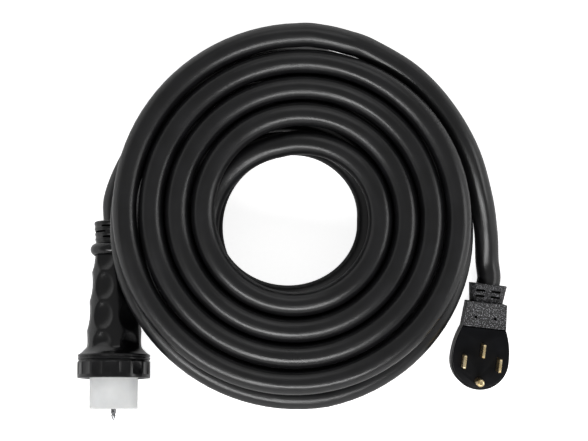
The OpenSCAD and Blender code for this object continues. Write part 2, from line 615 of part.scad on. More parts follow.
module plug_jacket_end() color("#1c1c1e") on_plug()
    translate([0, plug_end_y, plug_cord_z]) rotate([90, 0, 0]) jacket_end(plug_jacket_len);
// A conductor that leaves the cord beside its axis, runs straight, bends over and ends in the
// barrel at (x, y, z), which it enters from `level` behind
module plug_wire(beside, x, y, z, d, straight, level) on_plug() swept_tube([
    [beside.x, jacket_tip_y + wire_root, plug_cord_z + beside.y],
    [beside.x, jacket_tip_y - straight, plug_cord_z + beside.y],
    [x, y + level, z], [x, y + 2, z]
], d / 2, wire_sides);
function core_place(angle) = core_step * [cos(angle), sin(angle)];
module plug_wire_black() color("#151515")
    plug_wire(core_place(wire_angles[1]), -hot_spacing / 2, hot_y + blade_w / 2, hot_wire_z, power_wire_d, 3, 12);
module plug_wire_red() color("#b3241c")
    plug_wire(core_place(wire_angles[2]), hot_spacing / 2, hot_y + blade_w / 2, hot_wire_z, power_wire_d, 3, 12);
module plug_wire_white() color("#e8e8e4")
    plug_wire(core_place(wire_angles[0]), 0, neutral_y + blade_w / 2, neutral_wire_z, power_wire_d, 8.5, 9.5);
module plug_wire_green() color("#1f7a3a")
    plug_wire([0, 0], 0, ground_y + ground_neck_r, ground_wire_z, ground_wire_d, 2, 43.5);

cord_coil();
cord_to_connector();
cord_to_plug();
connector_strain_relief();
connector_collar();
connector_grip();
grip_rim();
locking_ring();
ring_retainer();
ring_gasket();
nose();
contact_hot_x();
contact_hot_y();
contact_neutral();
centre_pin();
terminal_block();
terminal_screws();
block_screws();
inner_sleeve();
clamp_half_upper();
clamp_half_lower();
clamp_band();
connector_jacket_end();
connector_wire_black();
connector_wire_red();
connector_wire_white();
connector_wire_green();
plug_cover();
plug_face();
plug_core();
plug_strain_relief();
plug_crimp_ring();
blade_hot_x();
blade_hot_y();
blade_neutral();
ground_pin();
core_screws();
plug_jacket_end();
plug_wire_black();
plug_wire_red();
plug_wire_white();
plug_wire_green();
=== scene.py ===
# %% [markdown]
# # A coiled shore power cord
# A shore power cord carries 50 A from a campsite post to a recreational vehicle. It is eleven metres of
# stiff cord as thick as a thumb, with a locking connector on one end and a right-angle plug on the other.
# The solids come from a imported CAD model, which is loaded first. Each step below gives one piece its
# finished shape, or one material its look.

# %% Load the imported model
import json
import math

import bmesh
import bpy
from mathutils import Matrix, Vector


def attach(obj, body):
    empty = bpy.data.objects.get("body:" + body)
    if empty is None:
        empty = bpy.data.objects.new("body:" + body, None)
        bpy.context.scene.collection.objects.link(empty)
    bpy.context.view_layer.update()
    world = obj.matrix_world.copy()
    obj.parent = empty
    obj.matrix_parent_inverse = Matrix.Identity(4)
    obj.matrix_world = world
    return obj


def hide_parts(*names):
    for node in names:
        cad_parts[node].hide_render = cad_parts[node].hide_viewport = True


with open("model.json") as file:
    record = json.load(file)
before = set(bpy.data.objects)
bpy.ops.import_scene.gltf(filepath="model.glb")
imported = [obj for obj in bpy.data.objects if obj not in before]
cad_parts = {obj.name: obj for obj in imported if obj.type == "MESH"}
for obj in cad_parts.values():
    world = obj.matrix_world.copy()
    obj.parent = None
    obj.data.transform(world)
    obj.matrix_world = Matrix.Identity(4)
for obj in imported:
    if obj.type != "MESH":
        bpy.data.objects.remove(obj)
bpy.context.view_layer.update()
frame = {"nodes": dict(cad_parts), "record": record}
MM = 0.001

# %% [markdown]
# ## Camera
# The coil is looked at straight from above, two metres up, so the turns keep their round shape. A wide
# lens close by would make the connector and the plug lean outwards, so a long lens is used. The camera's
# own axes already look down, so it needs no turning.

# %% Camera
camera_height, frame_width = 2.0, 0.5798  # metres
aim_x, aim_y = 0.4, 96.8  # millimetres
sensor_width = 36
camera_data = bpy.data.cameras.new("camera")
camera_data.sensor_width = sensor_width
camera_data.lens = sensor_width * camera_height / frame_width
camera = bpy.data.objects.new("camera", camera_data)
camera.location = (aim_x * MM, aim_y * MM, camera_height)
bpy.context.scene.collection.objects.link(camera)
bpy.context.scene.camera = camera
print("lens:", round(camera_data.lens, 1), "mm")

# %% [markdown]
# ## The cord's route
# The cord lies in four layers: it winds in, out, in and out again, always clockwise, and climbs one layer
# at each reversal. The route could be drawn by hand through some thousand points, but then no turn would
# be quite round. These few numbers say how many turns each layer has, how far apart they lie and where
# each layer's middle is, and a formula does the rest.

# %% Numbers of the coil, in millimetres
cord_d = 23.0
cord_r = cord_d / 2
layer_turns = [3.25, 3.22, 3.5, 4.03]
turn_gaps = [3.4, 6.9, 4.6, 1.8]
layer_gap = 0.5
inner_r = 71.1
layer_centres = [(3.5, 94.3), (1.8, 89.6), (-4.8, 95.6), (4.5, 101.5)]
turn_a = layer_turns[0]
turn_b = turn_a + layer_turns[1]
turn_c = turn_b + layer_turns[2]
turn_end = turn_c + layer_turns[3]
outer_r = inner_r + (cord_d + turn_gaps[1]) * layer_turns[1]
neck_r = outer_r - (cord_d + turn_gaps[2]) * layer_turns[2]
# Three turns were laid a little off centre: after which turn, over how many turns, and how far
stray_turns = [
    (turn_a + 0.25, 0.43, (-1.8, 11.6)),
    (turn_b + 0.56, 0.38, (2.5, 5)),
    (turn_c - 0.3, 0.3, (-1.3, -0.7)),
]
print("turns:", turn_end, "outer radius:", round(outer_r, 1), "mm")

# %% [markdown]
# ### From turns to places
# A spring rises all the time. A cord that is coiled on the ground lies flat and climbs only where it
# turns back, so its height changes over half a turn at each reversal. The same easing moves the coil's
# middle from one layer's to the next, and a smooth hump shifts the turns that were laid a little off
# centre. The whole coil is then one function of the number of turns.


# %% The coil's middle line
def coil_radius(u):
    """Radius of the coil's centreline after u turns."""
    if u < turn_a:
        return inner_r + (cord_d + turn_gaps[0]) * (turn_a - u)
    if u < turn_b:
        return inner_r + (cord_d + turn_gaps[1]) * (u - turn_a)
    if u < turn_c:
        return outer_r - (cord_d + turn_gaps[2]) * (u - turn_b)
    return neck_r + (cord_d + turn_gaps[3]) * (u - turn_c)


def eased(x):
    """From 0 to 1 over the half turn round a reversal."""
    t = min(1, max(0, 2 * x + 0.5))
    return t * t * (3 - 2 * t)


def coil_point(u):
    """Middle of the cord after u turns, in millimetres."""
    climbed = [eased(u - turn) for turn in (turn_a, turn_b, turn_c)]
    centre = Vector(layer_centres[0])
    for turn, span, shift in stray_turns:
        x = (u - turn) / span
        centre += ((1 + math.cos(math.pi * x)) / 2 if abs(x) < 1 else 0) * Vector(shift)
    for k, step in enumerate(climbed):
        centre += step * (Vector(layer_centres[k + 1]) - Vector(layer_centres[k]))
    angle = math.radians(90 - 360 * u)
    r = coil_radius(u)
    height = cord_r + (cord_d + layer_gap) * sum(climbed)
    return Vector((centre.x + r * math.cos(angle), centre.y + r * math.sin(angle), height))


print("the coil starts at", [round(v, 1) for v in coil_point(0)])

# %% [markdown]
# ### Where the ends are
# The cord leaves the connector and the plug along their own axes, so it starts straight at both. These
# places repeat those of the solids, because a cord that is a millimetre off would show a step at its
# strain relief.

# %% Places of the connector and the plug, in millimetres
connector_end = Vector((-173.978, 95.2247, 20.6791))
connector_tilt = math.radians(6.35659)
connector_exit = Vector((0, math.cos(connector_tilt), -math.sin(connector_tilt)))
plug_place = Vector((181.478, -37.5, 0))
plug_turn = math.radians(-6.7)
plug_out = Vector((-math.sin(plug_turn), math.cos(plug_turn), 0))
plug_exit = plug_place + 72.5 * plug_out + Vector((0, 0, 17))
print("cord leaves the plug at", [round(v, 1) for v in plug_exit])

# %% [markdown]
# ### One smooth line
# Two short stretches join the coil to its ends, and go through listed points. A curve object would need
# handles on every point. Here a spline that passes through all its points is worked out directly, so the
# distance along the cord is known at each one.


# %% The whole route
def chord_way(u, onwards):
    """Direction of the coil's end, as a chord one cord diameter long."""
    du = onwards * cord_d / (2 * math.pi * coil_radius(u))
    return (coil_point(u + du) - coil_point(u)).normalized()


def smooth_line(points, per_span):
    """Points on a smooth line that goes through all the given ones."""
    ends = [2 * points[0] - points[1]] + points + [2 * points[-1] - points[-2]]
    line = []
    for before, a, b, after in zip(ends, ends[1:], ends[2:], ends[3:]):
        for k in range(per_span):
            t = k / per_span
            line.append(0.5 * (2 * a + (b - before) * t + (2 * before - 5 * a + 4 * b - after) * t * t
                               + (3 * a - before - 3 * b + after) * t * t * t))
    return line + [points[-1]]


points_per_turn = 96
whole_steps = int(turn_end * points_per_turn)
coil = [coil_point(k / points_per_turn) for k in range(whole_steps)] + [coil_point(turn_end)]
coil_start = coil[0] + cord_d * chord_way(0, -1)
coil_finish = coil[-1] + cord_d * chord_way(turn_end, 1)
connector_tail = [
    connector_end, connector_end + cord_d * connector_exit,
    Vector((-163.5, 147, 14)), Vector((-147, 174, 11.5)), Vector((-122, 202, 11.5)),
    Vector((-93, 227, 11.5)), Vector((-62, 243, 11.5)),
    coil_start + cord_r * chord_way(0, -1), coil_start, coil[0],
]
plug_tail = [
    coil[-1], coil_finish - Vector((0, 0.5, 0.1)), Vector((50, 265.6, 80.3)),
    Vector((72.5, 257.9, 75)), Vector((111.5, 235, 69)), Vector((142.5, 203, 63.5)),
    Vector((166.5, 163, 57)), Vector((180.5, 120, 43.5)), Vector((187, 85, 28)),
    Vector((189, 58, 18.5)), plug_exit + 8 * plug_out, plug_exit,
]
into_tail = smooth_line([coil[-5]] + plug_tail, 12)[13:]
out_of_tail = smooth_line(connector_tail + [coil[4]], 12)[:-13]
route = out_of_tail + coil + into_tail
distance = [0.0]
for here, there in zip(route, route[1:]):
    distance.append(distance[-1] + (there - here).length)
print("cord:", round(distance[-1]), "mm in", len(route), "points")

# %% [markdown]
# ## The cord
# The jacket is a thick, stiff tube of PVC. A curve with a bevel would give the tube, but a mesh lets the
# UV map hold true distances: U is metres along the cord and V goes once around it. The lay of the four
# conductors under the jacket can then be drawn along the cord, whatever way it bends.


# %% Sweep the jacket along the route
def jacket_tube(name, points, distances, radius, sides):
    """A closed tube along the points, in metres, with true lengths in its UV map."""
    corners, faces, uvs = [], [], []
    for i, point in enumerate(points):
        ahead = (points[min(i + 1, len(points) - 1)] - points[max(i - 1, 0)]).normalized()
        across = ahead.cross(Vector((0, 0, 1))).normalized()
        up = across.cross(ahead)
        for k in range(sides):
            a = 2 * math.pi * k / sides
            corners.append((point + radius * (math.cos(a) * across + math.sin(a) * up)) * MM)
    for i in range(len(points) - 1):
        for k in range(sides):
            a, b = i * sides + k, i * sides + (k + 1) % sides
            faces.append((a, a + sides, b + sides, b))
            near, far = distances[i] * MM, distances[i + 1] * MM
            low, high = k / sides, (k + 1) / sides
            uvs += [(near, low), (far, low), (far, high), (near, high)]
    for ring in (range(sides), reversed(range(len(corners) - sides, len(corners)))):
        faces.append(tuple(ring))
        uvs += [(0, 0)] * sides
    mesh = bpy.data.meshes.new(name)
    mesh.from_pydata(corners, [], faces)
    layer = mesh.uv_layers.new(name="along_and_around")
    for loop, uv in zip(layer.data, uvs):
        loop.uv = uv
    tube = bpy.data.objects.new(name, mesh)
    bpy.context.scene.collection.objects.link(tube)
    return tube


cord_sides = 28
cord = jacket_tube("cord_jacket", route, distance, cord_r, cord_sides)
print("cord faces:", len(cord.data.polygons))

# %% [markdown]
# ## Helpers for materials
# A material is a tree of nodes, which is usually drawn by hand in the shader editor. In a script the same
# few steps come back for every node: add it, set it and join it. One small function does them for any
# kind of node, and another turns colours as written into the values that shaders use.


# %% Helpers for materials
def linear(hex_colour):
    """A colour such as #1b1b1d, turned from sRGB to the linear values that shaders use."""
    parts = [int(hex_colour[i:i + 2], 16) / 255 for i in (1, 3, 5)]
    return [p / 12.92 if p <= 0.04045 else ((p + 0.055) / 1.055) ** 2.4 for p in parts] + [1.0]


def add(tree, kind, inputs=None, **settings):
    """Adds one node. Its settings are set by name, and each input takes a value or another socket."""
    node = tree.nodes.new(kind)
    for name, value in settings.items():
        setattr(node, name, value)
    for name, value in (inputs or {}).items():
        if isinstance(value, bpy.types.NodeSocket):
            tree.links.new(value, node.inputs[name])
        else:
            node.inputs[name].default_value = value
    return node


print("black jacket colour:", [round(c, 4) for c in linear("#0c0c0d")])

# %% [markdown]
# ### Ramps, grains and bumps
# Nearly every finish here is made of four things: a colour that changes a little, a roughness that
# changes with it, a grain and a bump. These functions make them from real sizes in millimetres, so that a
# pattern keeps its scale on a large piece and on a small one.


# %% Ramps, grains and bumps
def ramp(tree, source, stops):
    """A colour ramp over a value: stops are (place, hex colour)."""
    node = add(tree, "ShaderNodeValToRGB", {"Fac": source})
    while len(node.color_ramp.elements) < len(stops):
        node.color_ramp.elements.new(0.5)
    for element, (place, colour) in zip(node.color_ramp.elements, stops):
        element.position = place
        element.color = linear(colour)
    return node.outputs["Color"]


def spread(tree, source, low, high):
    """A value from 0 to 1, stretched to go from low to high."""
    return add(tree, "ShaderNodeMapRange", {"Value": source, "To Min": low, "To Max": high}).outputs["Result"]


def new_finish(name, metallic=0.0, ior=None, **constants):
    """A material with one shader, whose unpatterned values are set on its own sockets."""
    material = bpy.data.materials.new(name)
    material.use_nodes = True
    shader = material.node_tree.nodes["Principled BSDF"]
    shader.inputs["Metallic"].default_value = metallic
    if ior:
        shader.inputs["IOR"].default_value = ior
    for socket, value in constants.items():
        shader.inputs[socket.replace("_", " ")].default_value = value
    return material, material.node_tree, shader


def grain(tree, coordinates, size_mm, detail=2.0):
    """Noise whose spots are about size_mm across on the real object."""
    inputs = {"Vector": coordinates, "Scale": 1000 / size_mm, "Detail": detail}
    return add(tree, "ShaderNodeTexNoise", inputs).outputs["Fac"]


def bumps(tree, height, depth_mm, below=None):
    """A bump of the given depth, on top of another one where below is given."""
    inputs = {"Height": height, "Distance": depth_mm * MM, "Strength": 1.0}
    if below:
        inputs["Normal"] = below
    return add(tree, "ShaderNodeBump", inputs).outputs["Normal"]


print("helpers ready")

# %% [markdown]
# ## Floor
# The object lies on white card. More light would turn the card white, but it would wash out the object
# too. The card is a real matt white, so the object keeps its contact shadow, and a glow that only the
# camera's own rays see turns the open floor pure white.

# %% Floor
floor_size, floor_drop, floor_lift = 16, 0.0002, 0.9
floor_card = bpy.data.materials.new("matt_white_card")
floor_card.use_nodes = True
tree = floor_card.node_tree
tree.nodes.clear()
place = add(tree, "ShaderNodeTexCoord").outputs["Object"]
card_white = ramp(tree, grain(tree, place, 3.0), [(0.3, "#f6f6f6"), (0.7, "#fafafa")])
matt = add(tree, "ShaderNodeBsdfDiffuse", {"Color": card_white, "Roughness": 1.0})
rays = add(tree, "ShaderNodeLightPath")
lift = add(tree, "ShaderNodeMath", {0: rays.outputs["Is Camera Ray"], 1: floor_lift}, operation="MULTIPLY")
glow = add(tree, "ShaderNodeEmission", {"Color": card_white, "Strength": lift.outputs["Value"]})
both = add(tree, "ShaderNodeAddShader", {0: matt.outputs["BSDF"], 1: glow.outputs["Emission"]})
add(tree, "ShaderNodeOutputMaterial", {"Surface": both.outputs["Shader"]})

bpy.ops.object.select_all(action="DESELECT")
bpy.ops.mesh.primitive_plane_add(size=floor_size, location=(0, 0, -floor_drop))
floor = bpy.context.object
floor.name = "floor"
floor.data.materials.append(floor_card)
print("floor is", floor_size, "m wide")

# %% [markdown]
# ## World
# Smooth black things show hardly any colour of their own, only what they mirror, so an even white world
# would make them grey. The world is a room with white walls and a darker ceiling. The tops of the turns
# mirror the ceiling and stay dark, and their flanks mirror the walls and shine.

# %% World
wall_light, ceiling_light = 1.0, 0.3
wall_top, ceiling_edge = 0.08, 0.5
world = bpy.data.worlds.new("pale_studio")
bpy.context.scene.world = world
world.use_nodes = True
tree = world.node_tree
tree.nodes.clear()
rays = add(tree, "ShaderNodeLightPath")
direction = add(tree, "ShaderNodeTexCoord").outputs["Generated"]
upward = add(tree, "ShaderNodeSeparateXYZ", {"Vector": direction}).outputs["Z"]
heights = {
    "Value": upward, "From Min": wall_top, "From Max": ceiling_edge,
    "To Min": wall_light, "To Max": ceiling_light,
}
walls = add(tree, "ShaderNodeMapRange", heights, interpolation_type="SMOOTHSTEP")
strength = add(tree, "ShaderNodeMath", {0: walls.outputs["Result"], 1: rays.outputs["Is Camera Ray"]},
               operation="MAXIMUM")
sky = add(tree, "ShaderNodeBackground", {"Color": linear("#ffffff"), "Strength": strength.outputs["Value"]})
add(tree, "ShaderNodeOutputWorld", {"Surface": sky.outputs["Background"]})
bpy.context.scene.view_settings.view_transform = "Standard"
print("world: walls", wall_light, "ceiling", ceiling_light)

# %% [markdown]
# ## Lamps
# A bare bulb would leave a hard dot on each turn. Softboxes leave the long soft highlights that run along
# a cord. A long, narrow one stands on the side that the connector's nose points to, and is by far the
# strongest. Two weak ones light the far side and the plug's side, so that no flank is lost.


# %% Lamps
def softbox(name, place, aim, width, depth, power):
    """A rectangular lamp that points at the aim."""
    data = bpy.data.lights.new(name, "AREA")
    data.shape = "RECTANGLE"
    data.size, data.size_y = width, depth
    data.energy = power
    lamp = bpy.data.objects.new(name, data)
    lamp.location = place
    lamp.rotation_euler = (Vector(aim) - Vector(place)).to_track_quat("-Z", "Y").to_euler()
    bpy.context.scene.collection.objects.link(lamp)
    return lamp


coil_middle = (0, 0.1, 0)
softbox("key_softbox", (-0.2, -1.2, 1.4), coil_middle, width=1.9, depth=0.38, power=28)
softbox("far_softbox", (0.3, 1.7, 1.6), coil_middle, width=1.6, depth=0.8, power=4)
softbox("side_softbox", (1.5, 0, 0.75), coil_middle, width=0.9, depth=0.4, power=4)
print("three softboxes")

# %% [markdown]
# ## Materials
# Each finish below starts from what the real one is made of and how its surface was made. Sizes in the
# patterns are real ones, in millimetres. The smallest grains are drawn a little coarser than they are, or
# they would not show.
# ### Jacket: extruded PVC
# Soft black PVC leaves the extruder smooth and semi-gloss. Under it, the four twisted conductors push
# faint ridges outward, one every 260 mm along a straight line on the jacket. The die draws fine lines
# along it, about 1.5 mm apart, and hands rub it duller in patches about 75 mm across. A picture wrapped
# round the cord would stretch at each bend. A sine wave and a drawn-out noise on the true distances of
# the UV map follow the cord instead.

# %% Jacket: extruded PVC
ridge_pitch, ridge_count, girth = 0.26, 4, 0.0723  # metres, except the count
jacket_pvc, tree, shader = new_finish("extruded_pvc_jacket", ior=1.52)
uv = add(tree, "ShaderNodeUVMap", uv_map="along_and_around").outputs["UV"]
place = add(tree, "ShaderNodeTexCoord").outputs["Object"]
axes = add(tree, "ShaderNodeSeparateXYZ", {"Vector": uv})
along = add(tree, "ShaderNodeMath", {0: axes.outputs["X"], 1: math.tau / ridge_pitch}, operation="MULTIPLY")
around = add(tree, "ShaderNodeMath", {0: axes.outputs["Y"], 1: math.tau * ridge_count}, operation="MULTIPLY")
phase = add(tree, "ShaderNodeMath", {0: along.outputs["Value"], 1: around.outputs["Value"]}, operation="ADD")
ridges = add(tree, "ShaderNodeMath", {0: phase.outputs["Value"]}, operation="SINE")
ridges = spread(tree, ridges.outputs["Value"], 0.5, 1.0)
lay = bumps(tree, ridges, 0.25)
wander = bumps(tree, grain(tree, place, 14.0), 0.25, lay)
drawn = add(tree, "ShaderNodeMapping", {"Vector": uv, "Scale": (0.02, girth, 1.0)}).outputs["Vector"]
wander = bumps(tree, grain(tree, drawn, 1.5, 3.0), 0.08, wander)
tree.links.new(bumps(tree, grain(tree, place, 0.9), 0.02, wander), shader.inputs["Normal"])
scuffs = grain(tree, place, 22.0, 6.0)
tree.links.new(ramp(tree, scuffs, [(0.35, "#0c0c0d"), (0.7, "#141416")]), shader.inputs["Base Color"])
rubbed = grain(tree, place, 75.0, 5.0)
tree.links.new(spread(tree, rubbed, 0.2, 0.44), shader.inputs["Roughness"])
print(jacket_pvc.name)

# %% [markdown]
# ### Moulded soft rubber
# The grip, the collar and the connector's strain relief are moulded over the cord in a soft black rubber,
# with a satin gloss and a fine even grain. Grain could be sculpted into the mesh, but it is far finer
# than the faces, so a bump draws it: slow waves of 9 mm, where the rubber shrank, under a grain of 0.7
# mm.

# %% Moulded soft rubber
soft_rubber, tree, shader = new_finish("moulded_soft_rubber", ior=1.5)
place = add(tree, "ShaderNodeTexCoord").outputs["Object"]
waves = bumps(tree, grain(tree, place, 9.0), 0.12)
tree.links.new(bumps(tree, grain(tree, place, 0.7, 3.0), 0.035, waves), shader.inputs["Normal"])
bloom = grain(tree, place, 16.0, 5.0)
tree.links.new(ramp(tree, bloom, [(0.35, "#050506"), (0.7, "#0a0a0b")]), shader.inputs["Base Color"])
tree.links.new(spread(tree, bloom, 0.17, 0.27), shader.inputs["Roughness"])
print(soft_rubber.name)

# %% [markdown]
# ### Glossy black nylon
# The rim and the locking ring are moulded in hard nylon from a polished mould. They are smooth and
# glossy, with the slow waves that hard plastic gets as it shrinks. A layer of clear coat would double
# each highlight, so a single layer is used, a little duller where it was rubbed.

# %% Glossy black nylon
glossy_nylon, tree, shader = new_finish("polished_black_nylon", ior=1.46)
place = add(tree, "ShaderNodeTexCoord").outputs["Object"]
sink_waves = bumps(tree, grain(tree, place, 11.0, 1.0), 0.1)
tree.links.new(bumps(tree, grain(tree, place, 0.8), 0.008, sink_waves), shader.inputs["Normal"])
rubbed = grain(tree, place, 7.0, 6.0)
tree.links.new(ramp(tree, rubbed, [(0.35, "#09090a"), (0.75, "#101012")]), shader.inputs["Base Color"])
tree.links.new(spread(tree, rubbed, 0.16, 0.3), shader.inputs["Roughness"])
print(glossy_nylon.name)

# %% [markdown]
# ### Spark-eroded plastic
# The plug's shoulder comes from a mould that was roughened by sparks, so it is covered in small round
# pits and glints. Modelled pits would need thousands of faces. The cells of a Voronoi pattern sink them
# in the bump instead, 0.9 mm across, and a noise of 1.1 mm gives the grain and paints the glints into the
# colour as pale specks: painted highlights. Both are drawn coarser than they are, or they would not show.

# %% Spark-eroded plastic
eroded_plastic, tree, shader = new_finish("spark_eroded_plastic", ior=1.5)
place = add(tree, "ShaderNodeTexCoord").outputs["Object"]
pit_mm = 0.9
pits = add(tree, "ShaderNodeTexVoronoi", {"Vector": place, "Scale": 1000 / pit_mm}).outputs["Distance"]
grain_and_painted_glints = grain(tree, place, 1.1, 2.0)
pitted = bumps(tree, pits, 0.3)
tree.links.new(bumps(tree, grain_and_painted_glints, 0.25, pitted), shader.inputs["Normal"])
# The pale top of this ramp paints the glints: painted highlights on the black
tree.links.new(ramp(tree, grain_and_painted_glints, [(0.44, "#0b0b0c"), (0.54, "#232325"), (0.66, "#98989c")]),
               shader.inputs["Base Color"])
tree.links.new(spread(tree, grain_and_painted_glints, 0.5, 0.75), shader.inputs["Roughness"])
print(eroded_plastic.name)

# %% [markdown]
# ### Satin black shell
# The rest of the plug's shell is the same plastic from a smoother part of the mould: a satin black with
# hardly any grain. Fine dust takes most of the shine off it, so its specular level is low, and slow
# patches change both colour and gloss.

# %% Satin black shell
shell_plastic, tree, shader = new_finish("satin_black_shell", ior=1.5, Specular_IOR_Level=0.22)
place = add(tree, "ShaderNodeTexCoord").outputs["Object"]
tree.links.new(bumps(tree, grain(tree, place, 0.8, 3.0), 0.04), shader.inputs["Normal"])
dust = grain(tree, place, 12.0, 6.0)
tree.links.new(ramp(tree, dust, [(0.35, "#0a0a0b"), (0.7, "#121213")]), shader.inputs["Base Color"])
tree.links.new(spread(tree, dust, 0.42, 0.56), shader.inputs["Roughness"])
print(shell_plastic.name)

# %% [markdown]
# ### Painted shade in grooves
# The slots of the strain reliefs, the vent holes in the shoulder and the seam beside it are at most three
# millimetres wide, so hardly any light gets in on the real plug. Here they could be left in the finish of
# the skin beside them, but they are cut only a few millimetres deep, and it would catch the light. So
# their walls get a painted shade: matt and the deepest black, with a little lint.

# %% Painted shade in grooves
# Painted shade: a near-black for the walls of the slots, the vent holes and the seam
groove_painted_shade, tree, shader = new_finish("painted_shade_groove", ior=1.4, Specular_IOR_Level=0.1)
place = add(tree, "ShaderNodeTexCoord").outputs["Object"]
lint = grain(tree, place, 2.0, 4.0)
tree.links.new(ramp(tree, lint, [(0.4, "#020202"), (0.75, "#070707")]), shader.inputs["Base Color"])
tree.links.new(spread(tree, lint, 0.8, 0.95), shader.inputs["Roughness"])
print(groove_painted_shade.name)

# %% [markdown]
# ### Grained rubber
# The plug's own strain relief is a harder rubber, from a mould as rough as the shoulder's. The shoulder's
# finish could be used again, but the rubber is darker and has no round pits. It gets a finish of its own
# from one noise, of the same size as the shoulder's, whose pale specks are painted glints.

# %% Grained rubber
grained_rubber, tree, shader = new_finish("grained_hard_rubber", ior=1.5)
place = add(tree, "ShaderNodeTexCoord").outputs["Object"]
grain_and_painted_glints = grain(tree, place, 1.1, 2.0)
tree.links.new(bumps(tree, grain_and_painted_glints, 0.25), shader.inputs["Normal"])
# The pale top of this ramp paints glints: painted highlights
tree.links.new(ramp(tree, grain_and_painted_glints, [(0.44, "#070708"), (0.54, "#1a1a1c"), (0.66, "#7c7c80")]),
               shader.inputs["Base Color"])
tree.links.new(spread(tree, grain_and_painted_glints, 0.45, 0.7), shader.inputs["Roughness"])
print(grained_rubber.name)

# %% [markdown]
# ### Smooth face plate
# The face that the blades come out of is a separate plate of hard, heat-proof plastic, smooth and
# slightly blue in its black. A full shine would turn it grey under the lamps, so it gets a low specular
# level and a slow change of colour, as the plastic flowed.

# %% Smooth face plate
face_plastic, tree, shader = new_finish("smooth_blue_black_plate", ior=1.5, Specular_IOR_Level=0.16)
place = add(tree, "ShaderNodeTexCoord").outputs["Object"]
flow = grain(tree, place, 18.0, 4.0)
tree.links.new(bumps(tree, grain(tree, place, 0.6, 2.0), 0.015), shader.inputs["Normal"])
tree.links.new(ramp(tree, flow, [(0.35, "#06070a"), (0.7, "#0c0d11")]), shader.inputs["Base Color"])
tree.links.new(spread(tree, flow, 0.34, 0.5), shader.inputs["Roughness"])
print(face_plastic.name)

# %% [markdown]
# ### Frosted nylon nose
# The nose is natural nylon, milky white and a little see-through, with a frosted skin from the mould.
# Glass would show the contacts clearly, which nylon doesn't. Light goes some millimetres into it and
# comes out again, which subsurface scattering draws, and which softens its edges.

# %% Frosted nylon nose
frosted_nylon, tree, shader = new_finish("frosted_natural_nylon", ior=1.53, Subsurface_Weight=0.35,
                                         Subsurface_Scale=0.004)
shader.inputs["Subsurface Radius"].default_value = (1.0, 0.95, 0.85)
place = add(tree, "ShaderNodeTexCoord").outputs["Object"]
cloud = grain(tree, place, 20.0, 3.0)
tree.links.new(bumps(tree, grain(tree, place, 0.8, 2.0), 0.03), shader.inputs["Normal"])
tree.links.new(ramp(tree, cloud, [(0.3, "#d3d4d4"), (0.7, "#e1e2e2")]), shader.inputs["Base Color"])
tree.links.new(spread(tree, cloud, 0.36, 0.5), shader.inputs["Roughness"])
print(frosted_nylon.name)

# %% [markdown]
# ### Brass blades
# Blades are stamped from brass strip and left bare. Yellow paint would look flat, because a metal shows
# what is around it. Rolling and plugging in leave fine scratches along the blades, so a noise that is
# drawn out in Z breaks the gloss into streaks, and handled brass turns a little darker.

# %% Brass blades
brass, tree, shader = new_finish("rolled_brass", metallic=1.0)
place = add(tree, "ShaderNodeTexCoord").outputs["Object"]
stretched = add(tree, "ShaderNodeMapping", {"Vector": place, "Scale": (1.0, 1.0, 0.06)}).outputs["Vector"]
scratches = grain(tree, stretched, 0.5, 3.0)
tarnish = grain(tree, place, 6.0, 5.0)
tree.links.new(bumps(tree, scratches, 0.012), shader.inputs["Normal"])
tree.links.new(ramp(tree, tarnish, [(0.3, "#ecca82"), (0.7, "#fdedc6")]), shader.inputs["Base Color"])
tree.links.new(spread(tree, scratches, 0.22, 0.34), shader.inputs["Roughness"])
print(brass.name)

# %% [markdown]
# ### Plated metals
# The centre pin is turned on a lathe and plated, so fine rings go round it. Screws and clamps are zinc
# plated, which is greyer and patchy. Both are a grey metal with lines and patches, so one function makes
# them. A noise that is drawn out across Y gives the rings, because the pin nearly lies along Y.


# %% Plated metals
def plated_metal(name, low, high, ring_mm, patch_mm, rough_low, rough_high):
    """A grey metal with fine lines of the given spacing and patches of the given size."""
    metal, tree, shader = new_finish(name, metallic=1.0)
    place = add(tree, "ShaderNodeTexCoord").outputs["Object"]
    squeezed = add(tree, "ShaderNodeMapping", {"Vector": place, "Scale": (0.1, 1.0, 0.1)}).outputs["Vector"]
    lines = grain(tree, squeezed, ring_mm, 2.0)
    patches = grain(tree, place, patch_mm, 4.0)
    tree.links.new(bumps(tree, lines, 0.01), shader.inputs["Normal"])
    tree.links.new(ramp(tree, patches, [(0.3, low), (0.7, high)]), shader.inputs["Base Color"])
    tree.links.new(spread(tree, patches, rough_low, rough_high), shader.inputs["Roughness"])
    return metal


plated_pin = plated_metal("turned_plated_pin", "#727375", "#929395", 0.3, 5.0, 0.2, 0.34)
zinc_steel = plated_metal("zinc_plated_steel", "#a9acae", "#c9cbcc", 0.6, 3.0, 0.28, 0.45)
print(plated_pin.name, zinc_steel.name)

# %% [markdown]
# ### Plain plastics and rubber inside
# The parts inside are out of sight on a closed connector: grey moulded nylon, the coloured PVC of the
# conductors, and a rubber washer. They could share one grey, but then an opened connector would look like
# a toy. They differ in colour, gloss and grain, and one function makes them all.


# %% Plain plastics and rubber inside
def plain_moulding(name, low, high, grain_mm, depth_mm, rough_low, rough_high):
    """A moulded or extruded plastic with a soft change of colour and an even grain."""
    plastic, tree, shader = new_finish(name, ior=1.5)
    place = add(tree, "ShaderNodeTexCoord").outputs["Object"]
    patches = grain(tree, place, 10.0, 4.0)
    tree.links.new(bumps(tree, grain(tree, place, grain_mm), depth_mm), shader.inputs["Normal"])
    tree.links.new(ramp(tree, patches, [(0.3, low), (0.7, high)]), shader.inputs["Base Color"])
    tree.links.new(spread(tree, patches, rough_low, rough_high), shader.inputs["Roughness"])
    return plastic


